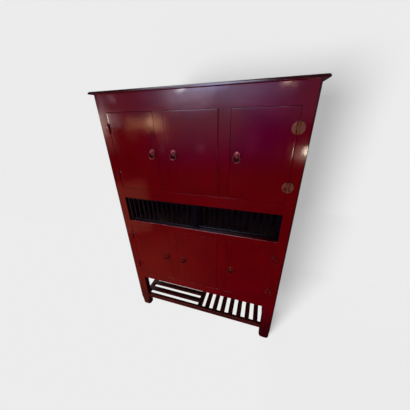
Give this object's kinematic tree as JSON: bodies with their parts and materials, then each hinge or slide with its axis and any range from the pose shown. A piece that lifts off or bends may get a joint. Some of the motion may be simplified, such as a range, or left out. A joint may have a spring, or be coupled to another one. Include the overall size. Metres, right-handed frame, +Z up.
{
  "type": "kitchen cabinet",
  "caption": "Lacquered post-and-rail cupboard with panelled swing doors above and below a waist of sliding lattice panels, an open lattice shelf near the floor and ring pulls.",
  "frame": {"origin": "middle of the whole box on the floor, under the cabinet", "axes": "+X to the right seen from the front, +Y from the front to the back, +Z up"},
  "size_m": [1.194, 0.5268, 1.756],
  "materials": {
    "red_lacquer": "glossy red lacquer",
    "dark_top_lacquer": "dark red lacquer",
    "shelf_lacquer": "worn dark red lacquer",
    "black_lacquer": "glossy black lacquer",
    "inside_wood": "bare softwood",
    "aged_brass": "aged brass",
    "dark_bronze": "dark patinated bronze"
  },
  "bodies": {
    "carcass": {"top_board": "dark_top_lacquer", "front_left_post": "red_lacquer", "front_right_post": "red_lacquer", "back_left_post": "red_lacquer", "back_right_post": "red_lacquer", "header_rail": "red_lacquer", "waist_upper_rail": "red_lacquer", "waist_lower_rail": "red_lacquer", "bottom_front_rail": "red_lacquer", "mullions": "red_lacquer", "side_rails": "red_lacquer", "side_panels": "red_lacquer", "back_rails": "inside_wood", "back_panels": "inside_wood", "lower_floor_board": "inside_wood", "waist_floor_board": "inside_wood", "upper_floor_board": "inside_wood", "upper_shelf": "inside_wood", "shelf_bearers": "inside_wood", "base_front_rail": "shelf_lacquer", "base_back_rail": "shelf_lacquer", "base_side_rails": "shelf_lacquer", "base_cross_rail": "shelf_lacquer", "lengthwise_slats": "shelf_lacquer", "depthwise_slats": "shelf_lacquer", "post_hinge_leaves": "aged_brass", "hinge_pins": "aged_brass"},
    "upper_left_door": {"upper_left_door_frame": "red_lacquer", "upper_left_door_panel": "red_lacquer", "upper_left_hinge_leaves": "aged_brass", "upper_left_pull_boss": "dark_bronze"},
    "upper_middle_door": {"upper_middle_door_frame": "red_lacquer", "upper_middle_door_panel": "red_lacquer", "upper_middle_pull_boss": "dark_bronze"},
    "upper_right_door": {"upper_right_door_frame": "red_lacquer", "upper_right_door_panel": "red_lacquer", "upper_right_hinge_leaves": "aged_brass", "upper_right_pull_boss": "dark_bronze"},
    "lower_left_door": {"lower_left_door_frame": "red_lacquer", "lower_left_door_panel": "red_lacquer", "lower_left_hinge_leaves": "aged_brass", "lower_left_pull_boss": "dark_bronze"},
    "lower_middle_door": {"lower_middle_door_frame": "red_lacquer", "lower_middle_door_panel": "red_lacquer", "lower_middle_pull_boss": "dark_bronze"},
    "lower_right_door": {"lower_right_door_frame": "red_lacquer", "lower_right_door_panel": "red_lacquer", "lower_right_hinge_leaves": "aged_brass", "lower_right_pull_boss": "dark_bronze"},
    "upper_left_ring": {"upper_left_pull_ring": "dark_bronze"},
    "upper_middle_ring": {"upper_middle_pull_ring": "dark_bronze"},
    "upper_right_ring": {"upper_right_pull_ring": "dark_bronze"},
    "lower_left_ring": {"lower_left_pull_ring": "dark_bronze"},
    "lower_middle_ring": {"lower_middle_pull_ring": "dark_bronze"},
    "lower_right_ring": {"lower_right_pull_ring": "dark_bronze"},
    "left_lattice": {"left_lattice_frame": "black_lacquer", "left_lattice_bars": "black_lacquer"},
    "right_lattice": {"right_lattice_frame": "black_lacquer", "right_lattice_bars": "black_lacquer"}
  },
  "joints": [
    {"name": "upper_left_door_swing", "type": "hinge", "parent": "carcass", "child": "upper_left_door", "pos_m": [-0.517, -0.24988, 1.4205], "axis": [0, 0, -1], "range_deg": [0, 110]},
    {"name": "upper_middle_door_swing", "type": "hinge", "parent": "carcass", "child": "upper_middle_door", "pos_m": [0.1455, -0.23858, 1.4205], "axis": [0, 0, 1], "range_deg": [0, 90]},
    {"name": "upper_right_door_swing", "type": "hinge", "parent": "carcass", "child": "upper_right_door", "pos_m": [0.517, -0.24988, 1.4205], "axis": [0, 0, 1], "range_deg": [0, 110]},
    {"name": "lower_left_door_swing", "type": "hinge", "parent": "carcass", "child": "lower_left_door", "pos_m": [-0.517, -0.24988, 0.6575], "axis": [0, 0, -1], "range_deg": [0, 110]},
    {"name": "lower_middle_door_swing", "type": "hinge", "parent": "carcass", "child": "lower_middle_door", "pos_m": [0.1455, -0.23858, 0.6575], "axis": [0, 0, 1], "range_deg": [0, 90]},
    {"name": "lower_right_door_swing", "type": "hinge", "parent": "carcass", "child": "lower_right_door", "pos_m": [0.517, -0.24988, 0.6575], "axis": [0, 0, 1], "range_deg": [0, 110]},
    {"name": "upper_left_ring_lift", "type": "hinge", "parent": "upper_left_door", "child": "upper_left_ring", "pos_m": [-0.2466, -0.25558, 1.4345], "axis": [-1, 0, 0], "range_deg": [0, 110]},
    {"name": "upper_middle_ring_lift", "type": "hinge", "parent": "upper_middle_door", "child": "upper_middle_ring", "pos_m": [-0.109, -0.25558, 1.4345], "axis": [-1, 0, 0], "range_deg": [0, 110]},
    {"name": "upper_right_ring_lift", "type": "hinge", "parent": "upper_right_door", "child": "upper_right_ring", "pos_m": [0.2506, -0.25558, 1.4345], "axis": [-1, 0, 0], "range_deg": [0, 110]},
    {"name": "lower_left_ring_lift", "type": "hinge", "parent": "lower_left_door", "child": "lower_left_ring", "pos_m": [-0.2466, -0.25558, 0.6625], "axis": [-1, 0, 0], "range_deg": [0, 110]},
    {"name": "lower_middle_ring_lift", "type": "hinge", "parent": "lower_middle_door", "child": "lower_middle_ring", "pos_m": [-0.109, -0.25558, 0.6625], "axis": [-1, 0, 0], "range_deg": [0, 110]},
    {"name": "lower_right_ring_lift", "type": "hinge", "parent": "lower_right_door", "child": "lower_right_ring", "pos_m": [0.2506, -0.25558, 0.6625], "axis": [-1, 0, 0], "range_deg": [0, 110]},
    {"name": "left_lattice_slide", "type": "slide", "parent": "carcass", "child": "left_lattice", "axis": [1, 0, 0], "range_m": [0, 0.517]},
    {"name": "right_lattice_slide", "type": "slide", "parent": "carcass", "child": "right_lattice", "axis": [-1, 0, 0], "range_m": [0, 0.517]}
  ]
}
